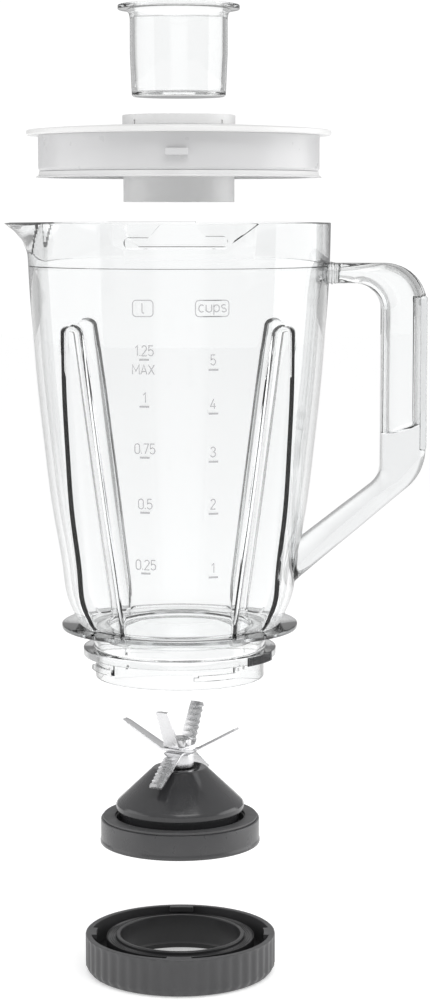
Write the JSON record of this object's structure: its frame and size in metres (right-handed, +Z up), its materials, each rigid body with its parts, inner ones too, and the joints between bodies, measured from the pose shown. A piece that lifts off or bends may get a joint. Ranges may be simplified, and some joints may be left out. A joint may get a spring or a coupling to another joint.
{
  "type": "blender jug assembly",
  "caption": "Clear tapered blender jug with spout and open handle, twist lid with measuring cap, bladed base unit and fluted lock ring, set apart along one axis.",
  "frame": {"origin": "centre of the lock ring's underside, on the axis that all round pieces share", "axes": "+Z up along the common axis, +X towards the jug's handle, -Y the front with the printed scale"},
  "size_m": [0.2035, 0.1452, 0.47],
  "materials": {
    "clear_plastic": "clear gloss",
    "clear_handle": "clear gloss",
    "clear_strip": "clear gloss",
    "clear_tab": "clear gloss, ribbed",
    "clear_cap": "clear gloss",
    "print_grey": "printed",
    "white_lid": "gloss",
    "pale_grey": "satin, translucent",
    "pale_seal": "satin",
    "dark_grey": "satin",
    "grey_rubber": "matt",
    "black_rubber": "matt",
    "black_plastic": "satin",
    "bronze": "sintered",
    "steel": "bright",
    "blade_steel": "bright"
  },
  "bodies": {
    "jug": {"jug_body": "clear_plastic", "jug_handle": "clear_handle", "handle_cover": "clear_strip", "volume_marks": "print_grey", "index_tab": "clear_tab"},
    "seal": {"lid_seal": "pale_seal"},
    "lid": {"lid_cover": "white_lid", "lid_skirt": "pale_grey", "filler_tube": "pale_grey"},
    "cap": {"measuring_cap": "clear_cap"},
    "blade_unit": {"blade_base": "dark_grey", "base_gasket": "grey_rubber", "blade_cone": "dark_grey", "shaft_seal": "black_rubber", "upper_bush": "bronze", "lower_bush": "bronze"},
    "blades": {"blade_shaft": "steel", "blade_upright": "blade_steel", "blade_middle": "blade_steel", "blade_lower": "blade_steel", "blade_spacer": "steel", "blade_nut": "steel", "thrust_washer": "pale_seal", "shaft_circlip": "steel", "drive_coupling": "black_plastic"},
    "washer": {"slip_washer": "black_rubber"},
    "ring": {"lock_ring": "dark_grey", "ring_floor": "dark_grey", "ring_hub": "dark_grey"}
  },
  "joints": [
    {"name": "lid_slide", "type": "slide", "parent": "jug", "child": "seal", "axis": [0, 0, -1], "range_m": [0, 0.0407]},
    {"name": "lid_twist", "type": "hinge", "parent": "seal", "child": "lid", "pos_m": [0, 0, 0.4], "axis": [0, 0, -1], "range_deg": [0, 14]},
    {"name": "cap_slide", "type": "slide", "parent": "lid", "child": "cap", "axis": [0, 0, -1], "range_m": [0, 0.0472]},
    {"name": "blade_unit_slide", "type": "slide", "parent": "jug", "child": "blade_unit", "axis": [0, 0, 1], "range_m": [0, 0.08775]},
    {"name": "blade_spin", "type": "hinge", "parent": "blade_unit", "child": "blades", "pos_m": [0, 0, 0.09], "axis": [0, 0, 1], "continuous": true},
    {"name": "ring_slide", "type": "slide", "parent": "blade_unit", "child": "washer", "axis": [0, 0, 1], "range_m": [0, 0.05125]},
    {"name": "ring_twist", "type": "hinge", "parent": "washer", "child": "ring", "pos_m": [0, 0, 0.01], "axis": [0, 0, 1], "range_deg": [0, 28]}
  ]
}
